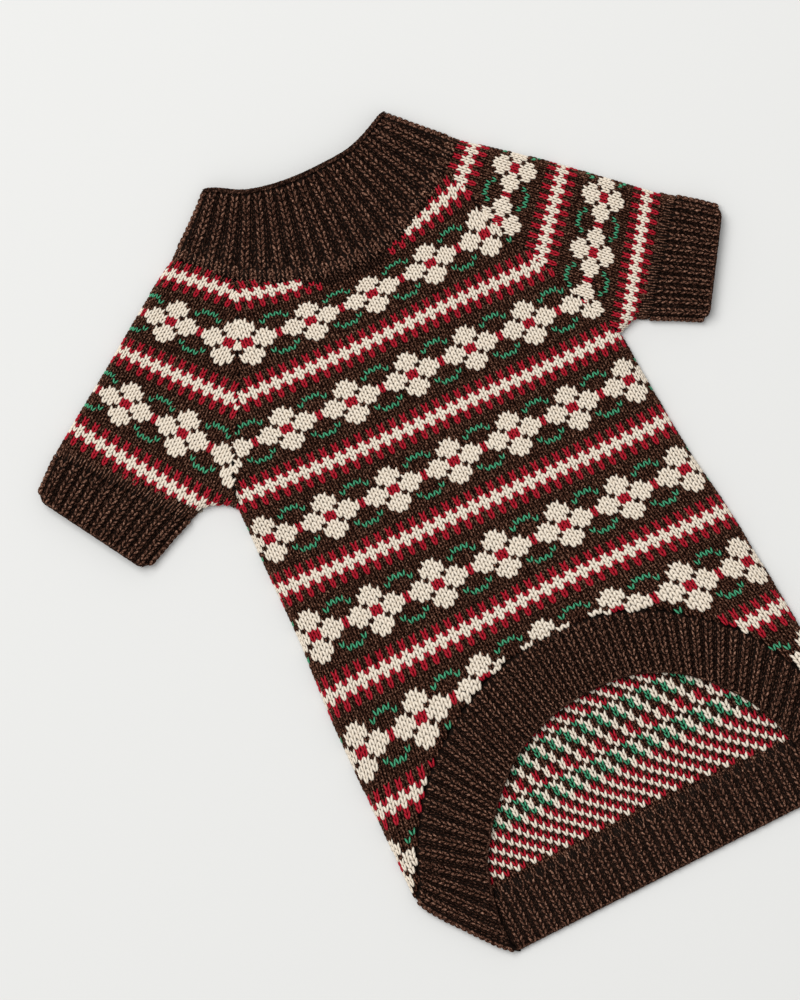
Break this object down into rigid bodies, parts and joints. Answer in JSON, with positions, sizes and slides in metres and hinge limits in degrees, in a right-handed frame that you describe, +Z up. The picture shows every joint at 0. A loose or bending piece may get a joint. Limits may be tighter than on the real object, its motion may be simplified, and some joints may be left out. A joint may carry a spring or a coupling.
{
  "type": "dog sweater",
  "caption": "Knitted dog sweater laid flat, chest side up: ribbed collar, raglan sleeves with ribbed cuffs, a body with an arched chest hem and a longer back.",
  "frame": {"origin": "middle of the rectangle that the laid garment covers, on the surface it lies on", "axes": "+X across the garment, +Y from the hem to the neck, +Z up from the surface through the back panel to the chest panel"},
  "size_m": [0.353, 0.3938, 0.0079],
  "materials": {
    "patterned_knit": "stranded knit in brown, cream, red and green yarn",
    "rib_knit": "one-by-one rib in dark heathered brown yarn"
  },
  "bodies": {
    "root": {"chest_panel": "patterned_knit", "back_panel": "patterned_knit", "left_sleeve": "patterned_knit", "right_sleeve": "patterned_knit", "chest_hem_band": "rib_knit", "back_hem_band": "rib_knit", "collar": "rib_knit", "left_cuff": "rib_knit", "right_cuff": "rib_knit"}
  },
  "joints": []
}
